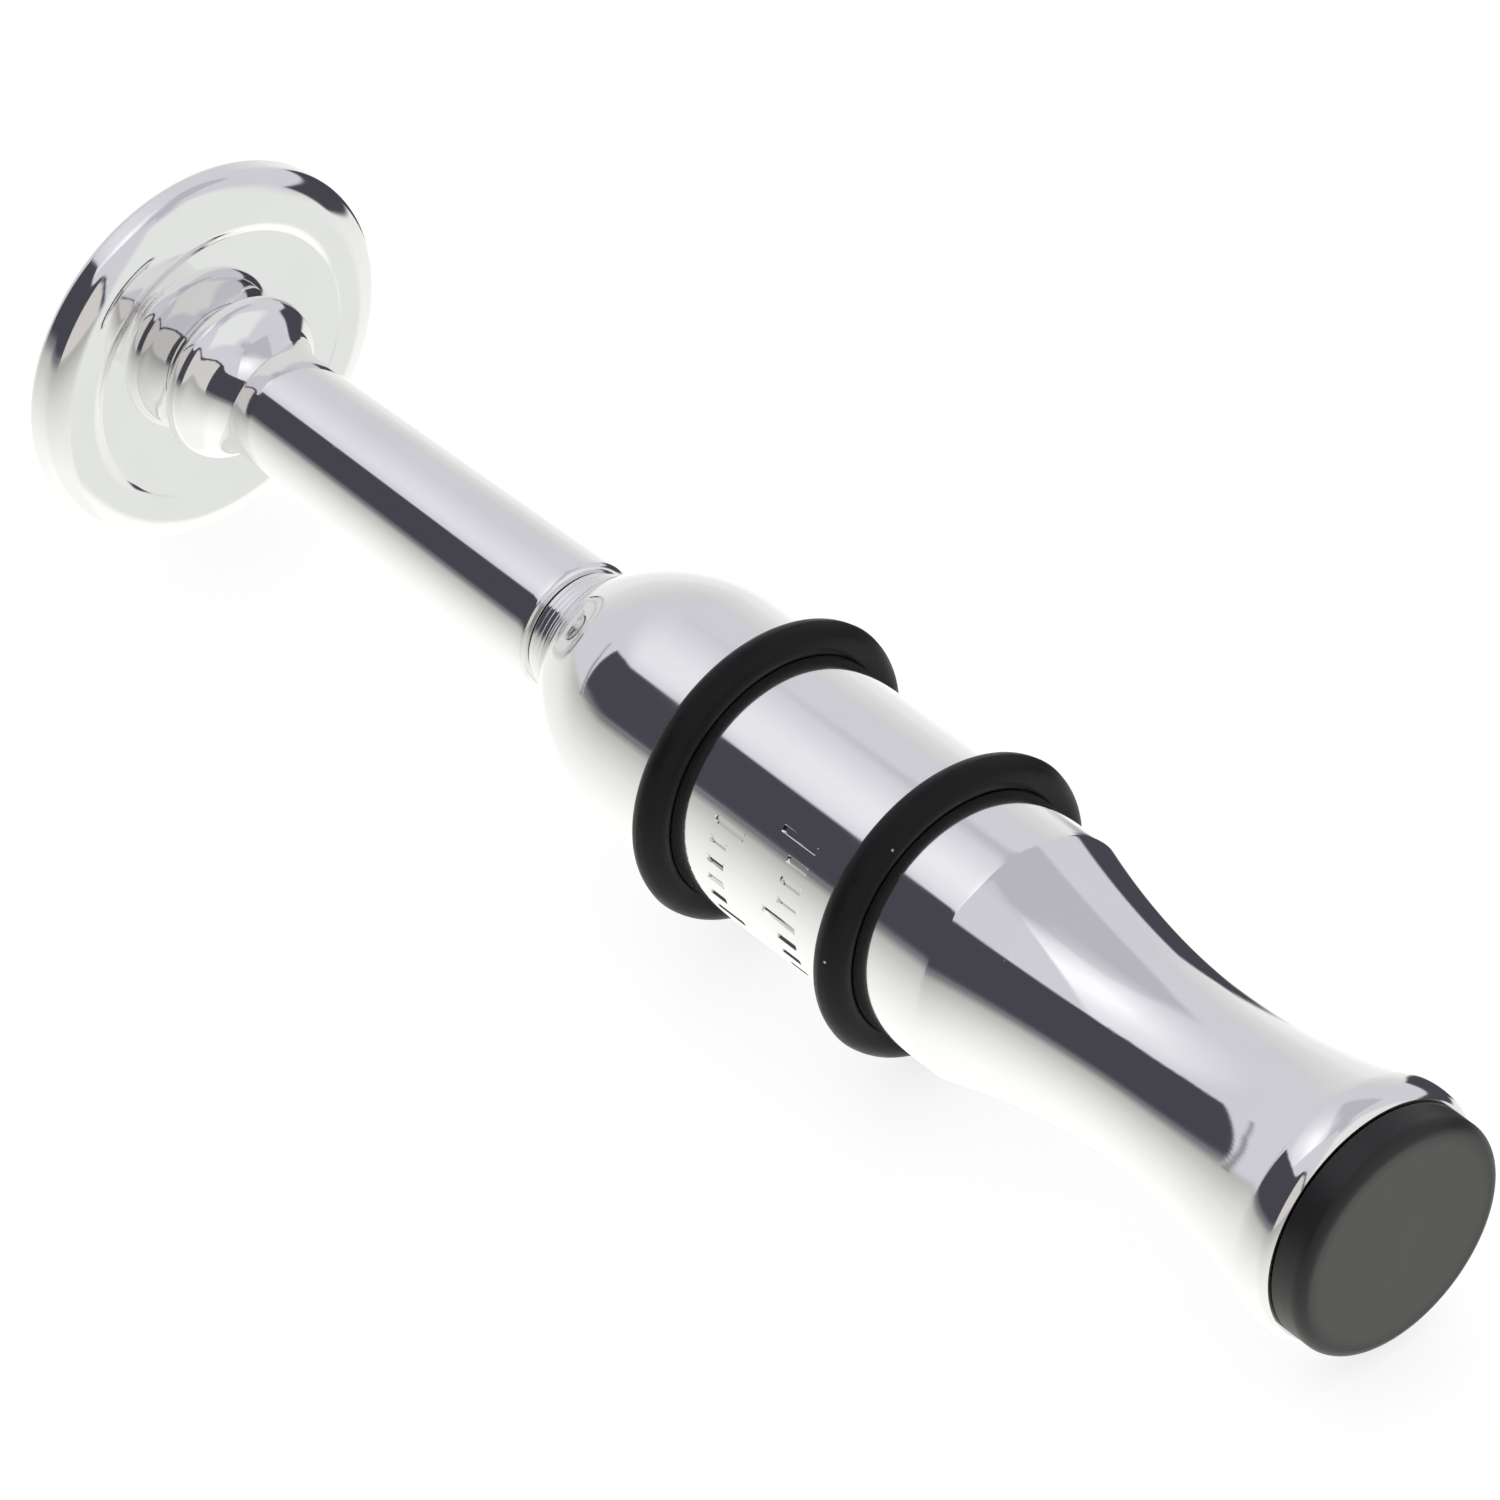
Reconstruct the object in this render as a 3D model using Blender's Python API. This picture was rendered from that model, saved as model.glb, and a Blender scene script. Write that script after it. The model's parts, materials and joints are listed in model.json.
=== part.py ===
"""Turned metal grunt call: bell and sliding stem, barrel, waisted mouthpiece, reed insert, dust plug.

Every piece is turned about one axis, which lies along +X. Outlines are lists of (station, radius)
in millimetres: stations count from the bell's outer face towards the plug. The object lies on
z = 0, with its middle over the origin.
"""

import math

import bmesh
import bpy
from mathutils import Vector

MM = 0.001
GAP = 0.3                  # air left between pieces that touch on the real object

# Whole object
LENGTH = 127.0             # bell face to plug face
BARREL_R = 9.525           # three-quarter inch bar stock
BELL_R = 15.0

# Round-off: flats around a full turn
BELL_SIDES = 48
BODY_SIDES = 36
TUBE_SIDES = 32
SMALL_SIDES = 24

# Bell and stem
BELL_THICK = 3.7
BELL_EDGE_R = 2.0
BELL_MOUTH_R = 11.8
AIRWAY_R = 2.95
SPIGOT_R = 3.55
SPIGOT_END = 9.0
BEAD_AT = 5.9
BEAD_R = 2.15
BEAD_CORE_R = 4.3
STEM_THIN_AT = 10.3
STEM_THIN_R = 4.42
STEM_END = 44.0
STEM_END_R = 5.05
SLIDE_R = 3.4
SLIDE_START = 35.7
SLIDE_END = 77.0
COLLAR_START = 71.5
COLLAR_LENGTH = 3.8
COLLAR_R = 7.1

# Barrel
NUT_START = 44.3
NUT_FRONT_R = 4.35
NUT_REAR_R = 5.1
NOSE_START = 46.3
NOSE_END = 57.0
NOSE_LENGTH = 11.0         # to where the nose's curve would be NOSE_FALL below the barrel
NOSE_FALL = 4.3
NOSE_POWER = 2.1
NOSE_BORE_R = 4.9
LIP_START = 55.6
BARREL_BORE_R = 7.5
RING_SECTION_R = 1.31
RING_CENTRE_R = 10.35
RING_SEAT_R = 8.7
RING_SEAT_HALF = 1.65
FRONT_RING_AT = 64.3
REAR_RING_AT = 83.1

# Mouthpiece
MOUTH_CORNER_AT = 90.5
WAIST_AT = 105.6
WAIST_R = 7.03
FLARE_AT = 121.3
FLARE_R = 9.4
RIM_R = 9.58
RIM_END = 124.2
MOUTH_BORE_R = 5.2
SOCKET_R = 6.3
SOCKET_START = 115.5
TENON_START = 78.4
TENON_R = 7.15

# Reed insert
HOLDER_START = 79.0
HOLDER_END = 91.0
HOLDER_R = 4.6
BOARD_R = 3.1
BOARD_END = 108.0
BOARD_TOP = 0.4            # height of the board's flat above the axis
REED_START = 91.8
REED_END = 107.4
REED_THICK = 0.3
REED_WIDTH = 5.0
BAND_AT = 98.0

# Dust plug
PLUG_R = 8.9
PLUG_EDGE_R = 0.9
PLUG_SHANK_R = 5.95
PLUG_SHANK_START = 116.2

AXIS_HEIGHT = BELL_R * math.cos(math.pi / BELL_SIDES)


def clear_scene():
    for item in list(bpy.data.objects):
        bpy.data.objects.remove(item, do_unlink=True)


def make_material(name, colour, roughness, metallic):
    material = bpy.data.materials.new(name)
    material.use_nodes = True
    shader = material.node_tree.nodes["Principled BSDF"]
    shader.inputs["Base Color"].default_value = (*colour, 1.0)
    shader.inputs["Roughness"].default_value = roughness
    shader.inputs["Metallic"].default_value = metallic
    material.diffuse_color = (*colour, 1.0)
    return material


def place(station, radius=0.0, angle=0.0):
    """World point of a station, a radius and a turn about the axis from straight down."""
    return Vector((
        (station - LENGTH / 2) * MM,
        radius * math.sin(angle) * MM,
        (AXIS_HEIGHT - radius * math.cos(angle)) * MM,
    ))


def arc(station, radius, size, start_deg, end_deg, steps):
    """Points along an arc in the outline's plane, both ends included."""
    points = []
    for step in range(steps + 1):
        angle = math.radians(start_deg + (end_deg - start_deg) * step / steps)
        points.append((station + size * math.cos(angle), radius + size * math.sin(angle)))
    return points


def bend(start, control, end, steps):
    """Points along a quadratic curve, without its start."""
    points = []
    for step in range(1, steps + 1):
        t = step / steps
        u = 1 - t
        points.append(tuple(u * u * a + 2 * u * t * b + t * t * c for a, b, c in zip(start, control, end)))
    return points


def face_outwards(shape):
    bmesh.ops.recalc_face_normals(shape, faces=shape.faces)
    if shape.calc_volume(signed=True) < 0:
        bmesh.ops.reverse_faces(shape, faces=shape.faces)


def new_object(name, mesh, material):
    mesh.materials.append(material)
    mesh.shade_smooth()
    mesh.set_sharp_from_angle(angle=math.radians(28))
    item = bpy.data.objects.new(name, mesh)
    bpy.context.scene.collection.objects.link(item)
    return item


def set_pivot(item, point):
    """Moves an object's origin to a world point and leaves its shape where it is."""
    item.data.transform(item.matrix_world.Translation(-point))
    item.location = point


def turned(name, outline, sides, material, pivot_at=None):
    """A turned piece. An outline that starts and ends on the axis is solid, any other is a closed ring."""
    on_axis = outline[0][1] == 0 and outline[-1][1] == 0
    half_side = math.pi / sides
    shape = bmesh.new()
    points = [shape.verts.new(place(station, radius, half_side)) for station, radius in outline]
    pairs = list(zip(points, points[1:]))
    if not on_axis:
        pairs.append((points[-1], points[0]))
    edges = [shape.edges.new(pair) for pair in pairs]
    bmesh.ops.spin(
        shape, geom=points + edges, cent=place(0), axis=(1, 0, 0),
        angle=math.tau, steps=sides, use_merge=True,
    )
    bmesh.ops.remove_doubles(shape, verts=shape.verts, dist=1e-6)
    bmesh.ops.dissolve_degenerate(shape, edges=shape.edges, dist=1e-6)
    face_outwards(shape)
    mesh = bpy.data.meshes.new(name)
    shape.to_mesh(mesh)
    shape.free()
    item = new_object(name, mesh, material)
    set_pivot(item, place(LENGTH / 2 if pivot_at is None else pivot_at))
    return item


def seal_ring(name, station, centre_r, section_r, sides, section_sides, material):
    """An O-ring of round section."""
    outline = arc(station, centre_r, section_r, 0, 360, section_sides)[:-1]
    return turned(name, outline, sides, material, station)


def extruded(name, outline, half_width, material):
    """A solid whose side outline, in stations and heights above the axis, is extruded along Y."""
    shape = bmesh.new()
    centre = place(0)
    side = []
    for station, height in outline:
        side.append(shape.verts.new((place(station).x, -half_width * MM, centre.z + height * MM)))
    face = shape.faces.new(side)
    pushed = bmesh.ops.extrude_face_region(shape, geom=[face])["geom"]
    far_side = [part for part in pushed if isinstance(part, bmesh.types.BMVert)]
    bmesh.ops.translate(shape, verts=far_side, vec=(0, 2 * half_width * MM, 0))
    face_outwards(shape)
    mesh = bpy.data.meshes.new(name)
    shape.to_mesh(mesh)
    shape.free()
    return new_object(name, mesh, material)


def block_outline(start, end, low, high):
    return [(start, low), (end, low), (end, high), (start, high)]


def cut(item, cutter):
    cutter.hide_render = True
    cutter.display_type = "WIRE"
    boolean = item.modifiers.new("cut_" + cutter.name, "BOOLEAN")
    boolean.operation = "DIFFERENCE"
    boolean.solver = "EXACT"
    boolean.object = cutter


def bell_disc(metal):
    """Round flange with a rounded rim, a shallow dished back and a flared mouth, on a hollow spigot."""
    far_edge_r = 0.8
    flare = bend((0.0, BELL_MOUTH_R), (1.9, 4.6), (3.0, AIRWAY_R), 5)
    outline = [(0.0, BELL_MOUTH_R)]
    dish = 0.35
    outline += arc(far_edge_r, BELL_R - far_edge_r, far_edge_r, 180, 90, 3)
    outline += arc(BELL_THICK - BELL_EDGE_R, BELL_R - BELL_EDGE_R, BELL_EDGE_R, 90, 0, 5)
    outline += [(BELL_THICK, 12.7), (BELL_THICK - dish, 11.2), (BELL_THICK - dish, 5.0)]
    outline += [(BELL_THICK, SPIGOT_R), (SPIGOT_END, SPIGOT_R), (SPIGOT_END, AIRWAY_R)]
    outline += flare[:0:-1]
    return turned("bell_disc", outline, BELL_SIDES, metal)


def stem_tube(metal):
    """Handle tube: round bead, concave neck, then a slow taper out to a square shoulder."""
    socket_r = SPIGOT_R + GAP
    slide_socket_r = SLIDE_R + GAP
    shoulder_round = 0.35
    start = BELL_THICK + GAP
    bead = arc(BEAD_AT, BEAD_CORE_R, BEAD_R, 150, 25, 7)
    outline = [(start, bead[0][1] - 0.2)] + bead
    outline += bend(bead[-1], (8.22, 4.4), (STEM_THIN_AT, STEM_THIN_R), 4)
    outline += [(STEM_END - shoulder_round, STEM_END_R)]
    outline += [(STEM_END, STEM_END_R - shoulder_round), (STEM_END, slide_socket_r)]
    outline += [(SLIDE_START - GAP, slide_socket_r), (SLIDE_START - GAP, AIRWAY_R)]
    outline += [(SPIGOT_END + GAP, AIRWAY_R), (SPIGOT_END + GAP, socket_r), (start, socket_r)]
    return turned("stem_tube", outline, TUBE_SIDES, metal)


def slide_tube(metal):
    """Thin tube pressed into the stem, which telescopes in and out of the barrel."""
    outline = [(SLIDE_START, SLIDE_R), (SLIDE_END, SLIDE_R), (SLIDE_END, AIRWAY_R), (SLIDE_START, AIRWAY_R)]
    return turned("slide_tube", outline, TUBE_SIDES, metal)


def end_clips(steel):
    """Two snap rings beside the collar. The inner one meets the barrel's inner lip at full reach."""
    width = 0.6
    inner_r = SLIDE_R + GAP
    stations = {"inner_clip": COLLAR_START - GAP - width, "outer_clip": COLLAR_START + COLLAR_LENGTH + GAP}
    for name, start in stations.items():
        outline = [(start, inner_r), (start, 4.7), (start + width, 4.7), (start + width, inner_r)]
        turned(name, outline, SMALL_SIDES, steel)


def stop_collar(plastic):
    """Running collar on the slide tube, with a seal's groove. The tube turns freely in it."""
    end = COLLAR_START + COLLAR_LENGTH
    inner_r = SLIDE_R + GAP
    groove_r = 6.15
    groove_half = 0.75
    middle = (COLLAR_START + end) / 2
    outline = [(COLLAR_START, inner_r), (COLLAR_START, COLLAR_R), (middle - groove_half, COLLAR_R)]
    outline += [(middle - groove_half, groove_r), (middle + groove_half, groove_r)]
    outline += [(middle + groove_half, COLLAR_R), (end, COLLAR_R), (end, inner_r)]
    return turned("stop_collar", outline, BODY_SIDES, plastic)


def nose_radius(station):
    """Outside of the barrel's nose: one curve that runs smoothly into the straight part."""
    return BARREL_R - NOSE_FALL * ((NOSE_END - station) / NOSE_LENGTH) ** NOSE_POWER


def gland_nut(metal):
    """Nut with fine ridges that closes the nose and holds the gland's seal and bush."""
    inner_r = SLIDE_R + 0.35
    shank_r = NOSE_BORE_R - GAP
    ridges = 3
    ridge_depth = 0.3
    head_end = NOSE_START - GAP
    pitch = (head_end - NUT_START) / ridges
    outline = [(NUT_START, inner_r)]
    for ridge in range(ridges):
        start = NUT_START + pitch * ridge
        crest = NUT_FRONT_R + (NUT_REAR_R - NUT_FRONT_R) * ridge / (ridges - 1)
        outline += [(start, crest - ridge_depth), (start + pitch * 0.3, crest), (start + pitch * 0.8, crest)]
    outline += [(head_end, crest - ridge_depth), (head_end, shank_r), (49.2, shank_r), (49.2, inner_r)]
    return turned("gland_nut", outline, BODY_SIDES, metal)


def gland_bush(brass):
    """Plain guide bush for the slide tube, at the bottom of the nose's bore."""
    start, end = 51.2, LIP_START - GAP
    inner_r, outer_r = SLIDE_R + 0.35, NOSE_BORE_R - GAP
    outline = [(start, inner_r), (start, outer_r), (end, outer_r), (end, inner_r)]
    return turned("gland_bush", outline, SMALL_SIDES, brass)


def ring_seat(station):
    """Square groove for a grip ring, from its front wall to its rear wall."""
    front, rear = station - RING_SEAT_HALF, station + RING_SEAT_HALF
    return [(front, BARREL_R), (front, RING_SEAT_R), (rear, RING_SEAT_R), (rear, BARREL_R)]


def barrel(metal):
    """Round-nosed barrel with a grip ring's groove, an inner lip and a wide main bore."""
    steps = 8
    outline = []
    for step in range(steps + 1):
        station = NOSE_START + (NOSE_END - NOSE_START) * step / steps
        outline.append((station, nose_radius(station)))
    outline += ring_seat(FRONT_RING_AT)
    outline += ring_seat(REAR_RING_AT)[:2]
    end = REAR_RING_AT - 0.2
    lip_bore_r = SLIDE_R + 0.5
    outline += [(end, RING_SEAT_R), (end, BARREL_BORE_R), (NOSE_END, BARREL_BORE_R)]
    outline += [(NOSE_END, lip_bore_r), (LIP_START, lip_bore_r), (LIP_START, NOSE_BORE_R)]
    outline += [(NOSE_START, NOSE_BORE_R)]
    return turned("barrel", outline, BODY_SIDES, metal)


def waist_radius(station):
    """Outside of the mouthpiece: hollow curves that meet at the waist."""
    if station < WAIST_AT:
        share = (WAIST_AT - station) / (WAIST_AT - MOUTH_CORNER_AT)
        return WAIST_R + (BARREL_R - WAIST_R) * share ** 1.85
    share = (station - WAIST_AT) / (FLARE_AT - WAIST_AT)
    return WAIST_R + (FLARE_R - WAIST_R) * share ** 2.17


def mouthpiece(metal):
    """Waisted, flared mouthpiece. Its tenon enters the barrel, its rim takes the dust plug."""
    steps = 14
    groove_at, groove_half, groove_r = 81.0, 0.7, 6.1
    start = REAR_RING_AT + 0.2
    outline = [(TENON_START, MOUTH_BORE_R), (TENON_START, TENON_R), (groove_at - groove_half, TENON_R)]
    outline += [(groove_at - groove_half, groove_r), (groove_at + groove_half, groove_r)]
    outline += [(groove_at + groove_half, TENON_R), (start, TENON_R)]
    outline += [(start, RING_SEAT_R)] + ring_seat(REAR_RING_AT)[2:]
    for step in range(steps + 1):
        station = MOUTH_CORNER_AT + (FLARE_AT - MOUTH_CORNER_AT) * step / steps
        outline.append((station, waist_radius(station)))
    outline += [(FLARE_AT + 0.6, FLARE_R + 0.12), (FLARE_AT + 1.35, RIM_R), (RIM_END - 0.9, RIM_R)]
    outline += [(RIM_END - 0.3, RIM_R - 0.18), (RIM_END, RIM_R - 0.5)]
    outline += [(RIM_END, SOCKET_R), (SOCKET_START, SOCKET_R), (SOCKET_START - 1.8, MOUTH_BORE_R)]
    return turned("mouthpiece", outline, BODY_SIDES, metal)


def reed_holder(plastic):
    """Sleeve that carries the tone board in the mouthpiece's bore, with two seal grooves."""
    groove_r, groove_half = 3.85, 0.65
    bore_r, socket_r, socket_start = 2.6, BOARD_R + GAP, 85.2
    outline = [(HOLDER_START, bore_r), (HOLDER_START, HOLDER_R)]
    for station in (81.0, 88.0):
        outline += [(station - groove_half, HOLDER_R), (station - groove_half, groove_r)]
        outline += [(station + groove_half, groove_r), (station + groove_half, HOLDER_R)]
    outline += [(HOLDER_END, HOLDER_R), (HOLDER_END, socket_r)]
    outline += [(socket_start, socket_r), (socket_start, bore_r)]
    return turned("reed_holder", outline, SMALL_SIDES, plastic)


def tone_board(plastic):
    """Half-round board with an open trough, on a round stub with an air hole."""
    stub_start = 85.5
    stub_end = HOLDER_END + GAP
    outline = [(stub_start, 0.0), (stub_start, BOARD_R), (BOARD_END - 0.8, BOARD_R)]
    outline += [(BOARD_END, BOARD_R - 0.8), (BOARD_END, 0.0)]
    board = turned("tone_board", outline, SMALL_SIDES, plastic)
    high = BOARD_R + 1
    top = [(stub_end, high), (stub_end, BOARD_TOP), (97.0, BOARD_TOP), (103.0, BOARD_TOP - 0.25)]
    top += [(BOARD_END + 1, BOARD_TOP - 0.9), (BOARD_END + 1, high)]
    cut(board, extruded("cut_top", top, high, plastic))
    trough_half = 1.25
    trough = block_outline(stub_start - 1, 105.0, -1.5, 1.1)
    cut(board, extruded("cut_trough", trough, trough_half, plastic))
    return board


def reed(film):
    """Springy strip that lies along the board and lifts towards its free end."""
    low = BOARD_TOP + GAP
    lift = 0.35
    bend_at = (REED_START + REED_END) / 2
    outline = [(REED_START, low), (bend_at, low + 0.05), (REED_END, low + lift)]
    outline += [(REED_END, low + lift + REED_THICK), (bend_at, low + 0.05 + REED_THICK)]
    outline += [(REED_START, low + REED_THICK)]
    strip = extruded("reed", outline, REED_WIDTH / 2, film)
    set_pivot(strip, place(BAND_AT) + Vector((0, 0, low * MM)))
    return strip


def reed_wedge(cork):
    """Half-round wedge that clamps the reed's fixed end on the board."""
    start, end = REED_START, 95.4
    outline = [(start, 0.0), (start, 4.7), (end, 4.3), (end, 0.0)]
    wedge = turned("reed_wedge", outline, SMALL_SIDES, cork)
    low_side = block_outline(start - 1, end + 1, -6.0, BOARD_TOP + 2 * GAP + REED_THICK)
    cut(wedge, extruded("cut_wedge", low_side, 6.0, cork))
    return wedge


def dust_plug(rubber):
    """Closed plug with a flat face and a rounded edge, pushed into the mouthpiece."""
    back = RIM_END + GAP
    groove_at, groove_half, groove_r = 119.5, 0.8, 4.7
    outline = [(PLUG_SHANK_START, 0.0), (PLUG_SHANK_START, PLUG_SHANK_R - 0.5)]
    outline += [(PLUG_SHANK_START + 0.5, PLUG_SHANK_R), (groove_at - groove_half, PLUG_SHANK_R)]
    outline += [(groove_at - groove_half, groove_r), (groove_at + groove_half, groove_r)]
    outline += [(groove_at + groove_half, PLUG_SHANK_R), (back, PLUG_SHANK_R)]
    outline += [(back, PLUG_R - 0.2), (back + 0.2, PLUG_R)]
    outline += arc(LENGTH - PLUG_EDGE_R, PLUG_R - PLUG_EDGE_R, PLUG_EDGE_R, 90, 0, 3)
    return turned("dust_plug", outline + [(LENGTH, 0.0)], BODY_SIDES, rubber)


def build():
    clear_scene()
    metal = make_material("polished_metal", (0.86, 0.85, 0.88), 0.08, 1.0)
    brass = make_material("brass", (0.78, 0.6, 0.3), 0.25, 1.0)
    steel = make_material("spring_steel", (0.55, 0.55, 0.57), 0.35, 1.0)
    grip_rubber = make_material("grip_rubber", (0.018, 0.016, 0.017), 0.42, 0.0)
    seal_rubber = make_material("seal_rubber", (0.03, 0.03, 0.03), 0.5, 0.0)
    plug_plastic = make_material("plug_plastic", (0.06, 0.06, 0.056), 0.55, 0.0)
    holder_plastic = make_material("holder_plastic", (0.05, 0.05, 0.055), 0.45, 0.0)
    board_plastic = make_material("board_plastic", (0.55, 0.5, 0.38), 0.2, 0.0)
    film = make_material("reed_film", (0.75, 0.72, 0.6), 0.25, 0.0)
    cork = make_material("cork", (0.5, 0.33, 0.18), 0.85, 0.0)

    bell_disc(metal)
    stem_tube(metal)
    slide_tube(metal)
    end_clips(steel)
    stop_collar(holder_plastic)
    seal_ring("slide_o_ring", COLLAR_START + COLLAR_LENGTH / 2, 6.86, 0.4, BODY_SIDES, 6, seal_rubber)

    gland_nut(metal)
    seal_ring("gland_seal", 50.2, 4.15, 0.42, SMALL_SIDES, 6, seal_rubber)
    gland_bush(brass)
    barrel(metal)
    for name, station in (("grip_ring_front", FRONT_RING_AT), ("grip_ring_rear", REAR_RING_AT)):
        seal_ring(name, station, RING_CENTRE_R, RING_SECTION_R, BODY_SIDES, 10, grip_rubber)

    mouthpiece(metal)
    seal_ring("joint_seal", 81.0, 6.8, 0.38, BODY_SIDES, 6, seal_rubber)
    reed_holder(holder_plastic)
    for name, station in (("holder_seal_inner", 81.0), ("holder_seal_outer", 88.0)):
        seal_ring(name, station, 4.53, 0.35, SMALL_SIDES, 6, seal_rubber)
    tone_board(board_plastic)
    reed(film)
    reed_wedge(cork)
    seal_ring("tuning_band", BAND_AT, 3.95, 0.5, SMALL_SIDES, 6, seal_rubber)

    dust_plug(plug_plastic)
    seal_ring("plug_seal", 119.5, 5.5, 0.45, SMALL_SIDES, 6, seal_rubber)


build()
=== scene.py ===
import json
import math

import bpy
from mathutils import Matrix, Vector


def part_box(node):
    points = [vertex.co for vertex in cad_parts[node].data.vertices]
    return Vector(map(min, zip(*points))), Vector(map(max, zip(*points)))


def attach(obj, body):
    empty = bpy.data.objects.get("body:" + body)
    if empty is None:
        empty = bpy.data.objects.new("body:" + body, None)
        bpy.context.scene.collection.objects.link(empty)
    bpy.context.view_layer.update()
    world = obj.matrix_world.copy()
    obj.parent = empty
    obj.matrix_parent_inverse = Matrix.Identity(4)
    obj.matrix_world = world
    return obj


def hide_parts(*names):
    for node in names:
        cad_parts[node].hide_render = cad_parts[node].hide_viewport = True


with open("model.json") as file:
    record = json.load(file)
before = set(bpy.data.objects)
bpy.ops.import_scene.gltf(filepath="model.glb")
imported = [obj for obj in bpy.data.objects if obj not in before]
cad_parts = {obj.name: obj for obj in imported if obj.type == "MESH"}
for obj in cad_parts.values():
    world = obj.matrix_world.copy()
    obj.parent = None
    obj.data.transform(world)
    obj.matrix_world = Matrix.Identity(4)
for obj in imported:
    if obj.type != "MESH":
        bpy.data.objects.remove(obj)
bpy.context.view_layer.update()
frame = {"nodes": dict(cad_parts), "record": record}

# A polished turned call, lying on a pale floor. Every piece but the tone board, the reed and the wedge
# is turned here about the axis along +X, in place of its plain CAD node.
# Outlines are lists of (station, radius) in millimetres, and stations count from the bell's face.

MM = 0.001
SIDES = 160
SHARP_ANGLE = math.radians(35)

# Camera: degrees round from -Y towards +X, degrees up, metres away and the degrees that it takes in.
# It aims near the middle of the call.
VIEW_AZIMUTH = 49.614
VIEW_ELEVATION = 39.313
VIEW_DISTANCE = 0.60173
VIEW_ANGLE = 9.7427
AIM_OFFSET = Vector((-0.886, -0.084, 0.758)) * MM

RECORD = frame["record"]
BODY_OF = {node: body for body, nodes in RECORD["behaviour"]["bodies"].items() for node in nodes}


def middle(node):
    """Middle of a CAD node's box."""
    low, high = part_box(node)
    return (low + high) / 2


AXIS_Z = middle("bell_disc").z
PLUG_FACE_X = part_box("dust_plug")[1].x
FACE_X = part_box("bell_disc")[0].x


def stations(node):
    """First and last station of a CAD node."""
    low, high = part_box(node)
    return (low.x - FACE_X) / MM, (high.x - FACE_X) / MM


def outer_radius(node):
    """Distance from the axis to a CAD node's furthest point."""
    points = frame["nodes"][node].data.vertices
    return max(math.hypot(point.co.y, point.co.z - AXIS_Z) for point in points) / MM


def place(station, radius=0.0, angle=0.0):
    """Point at a station, a radius and a turn about the axis from straight down."""
    return Vector((
        FACE_X + station * MM,
        radius * math.sin(angle) * MM,
        AXIS_Z - radius * math.cos(angle) * MM,
    ))


# ---------------------------------------------------------------- outlines


def arc(station, radius, size, start_deg, end_deg, step_deg=9.0):
    """Points along an arc in the outline's plane, both ends included."""
    steps = max(2, math.ceil(abs(end_deg - start_deg) / step_deg))
    points = []
    for step in range(steps + 1):
        angle = math.radians(start_deg + (end_deg - start_deg) * step / steps)
        points.append((station + size * math.cos(angle), radius + size * math.sin(angle)))
    return points


def bend(start, control, end, steps):
    """Points along a quadratic curve, without its start."""
    points = []
    for step in range(1, steps + 1):
        t = step / steps
        u = 1 - t
        points.append(tuple(u * u * a + 2 * u * t * b + t * t * c for a, b, c in zip(start, control, end)))
    return points


def sweep(function, start, end, steps):
    """Points of a radius given as a function of the station."""
    points = []
    for step in range(steps + 1):
        station = start + (end - start) * step / steps
        points.append((station, function(station)))
    return points


CORNER_STEP = math.radians(12)
MOST_OF_A_SIDE = 0.48


def corner(before, here, after, size):
    """A true arc of the given radius in place of the outline's corner, smaller where a side is too short."""
    p, a, b = Vector(here), Vector(before), Vector(after)
    back, ahead = a - p, b - p
    half = back.angle(ahead) / 2
    reach = min(size / math.tan(half), MOST_OF_A_SIDE * back.length, MOST_OF_A_SIDE * ahead.length)
    size = reach * math.tan(half)
    centre = p + (back.normalized() + ahead.normalized()).normalized() * (size / math.sin(half))
    first = p + back.normalized() * reach - centre
    last = p + ahead.normalized() * reach - centre
    turn = math.atan2(first.x * last.y - first.y * last.x, first.dot(last))
    start = math.atan2(first.y, first.x)
    steps = max(3, math.ceil(abs(turn) / CORNER_STEP))
    points = []
    for step in range(steps + 1):
        angle = start + turn * step / steps
        points.append((centre.x + size * math.cos(angle), centre.y + size * math.sin(angle)))
    return points


def rounded(corners, size, closed=True):
    """An outline through plain corners, each rounded by the same radius. An open run keeps its two ends."""
    points = []
    count = len(corners)
    for index, here in enumerate(corners):
        if not closed and index in (0, count - 1):
            points.append(here)
            continue
        points += corner(corners[index - 1], here, corners[(index + 1) % count], size)
    return points


# ---------------------------------------------------------------- meshes


WEAR_REACH = 0.5
SHORTEST = 1e-9


def wear_along(outline, lengths):
    """How exposed each point of an outline is: 1 on a convex right-angled corner, 0 away from corners."""
    count = len(outline)
    turns = []
    for index in range(count):
        a = Vector(outline[index]) - Vector(outline[index - 1])
        b = Vector(outline[(index + 1) % count]) - Vector(outline[index])
        alike = min(a.length, b.length) < SHORTEST
        turns.append(0.0 if alike else -math.atan2(a.x * b.y - a.y * b.x, a.dot(b)))
    wear = []
    for here in lengths:
        near = sum(turn * max(0.0, 1 - abs(here - there) / WEAR_REACH) for turn, there in zip(turns, lengths))
        wear.append(min(1.0, max(0.0, near / (math.pi / 2))))
    return wear


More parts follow.
